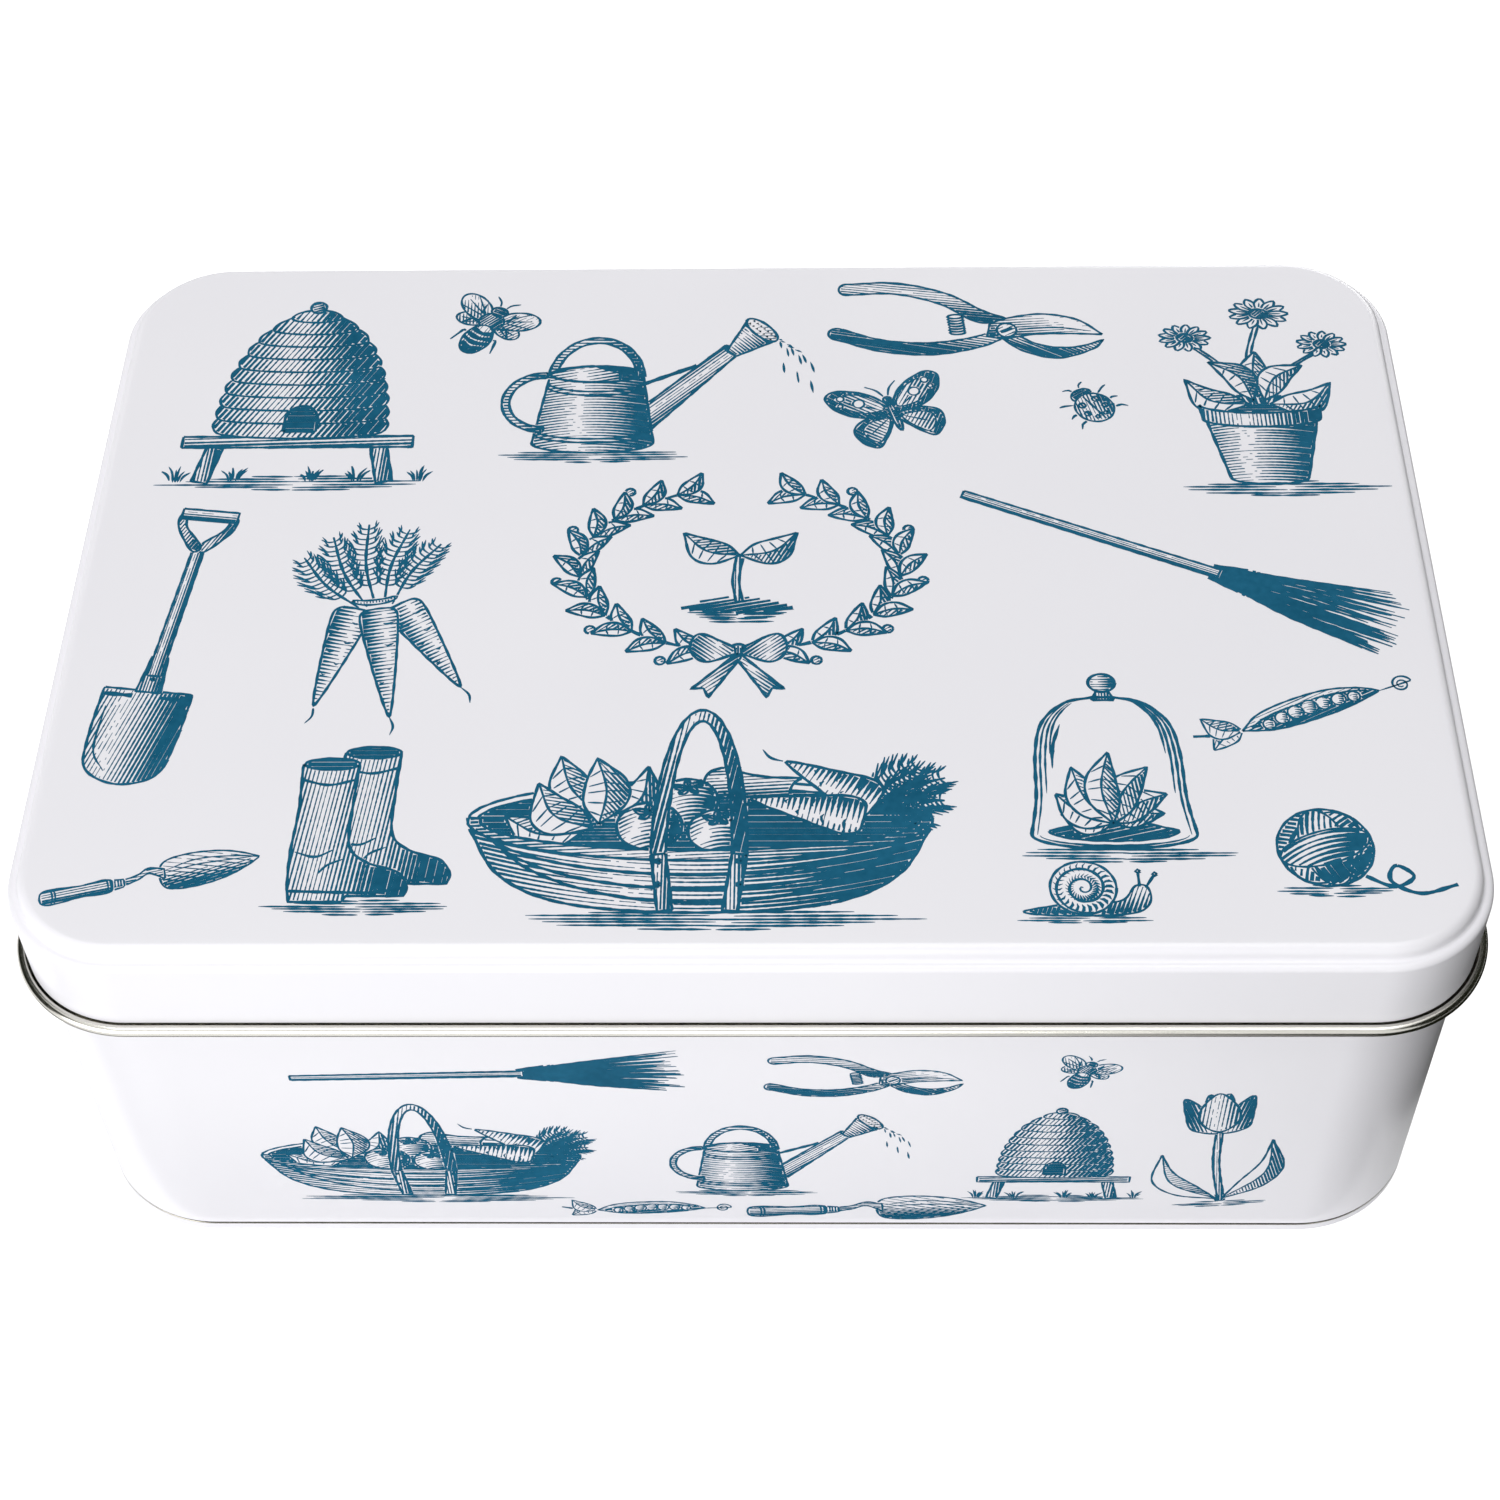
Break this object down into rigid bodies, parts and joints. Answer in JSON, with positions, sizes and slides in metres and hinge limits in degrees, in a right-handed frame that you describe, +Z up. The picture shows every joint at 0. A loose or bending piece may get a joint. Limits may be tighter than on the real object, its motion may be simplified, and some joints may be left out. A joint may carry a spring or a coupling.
{
  "type": "seed storage tin",
  "caption": "Rectangular lacquered tinplate storage tin with rounded corners, a stepped slip lid with a rolled bead, and interlocking card dividers for seed packets.",
  "frame": {"origin": "on the floor, under the middle of the tin", "axes": "+X to the right along the long side, +Y to the back, +Z up"},
  "size_m": [0.254, 0.176, 0.0899],
  "materials": {
    "lacquer": "white baked lacquer, printed in one blue ink, semi-gloss",
    "tinplate": "bare bright tinplate",
    "ink": "one blue-green printing ink, baked on the lacquer, semi-gloss",
    "board": "uncoated brown greyboard"
  },
  "bodies": {
    "tin": {"body_wall": "lacquer", "base_pan": "tinplate", "long_divider": "board", "cross_divider_1": "board", "cross_divider_2": "board", "cross_divider_3": "board", "cross_divider_4": "board"},
    "lid": {"lid": "lacquer"}
  },
  "joints": [
    {"name": "lid_lift", "type": "slide", "parent": "tin", "child": "lid", "axis": [0, 0, 1], "range_m": [0, 0.12]}
  ]
}
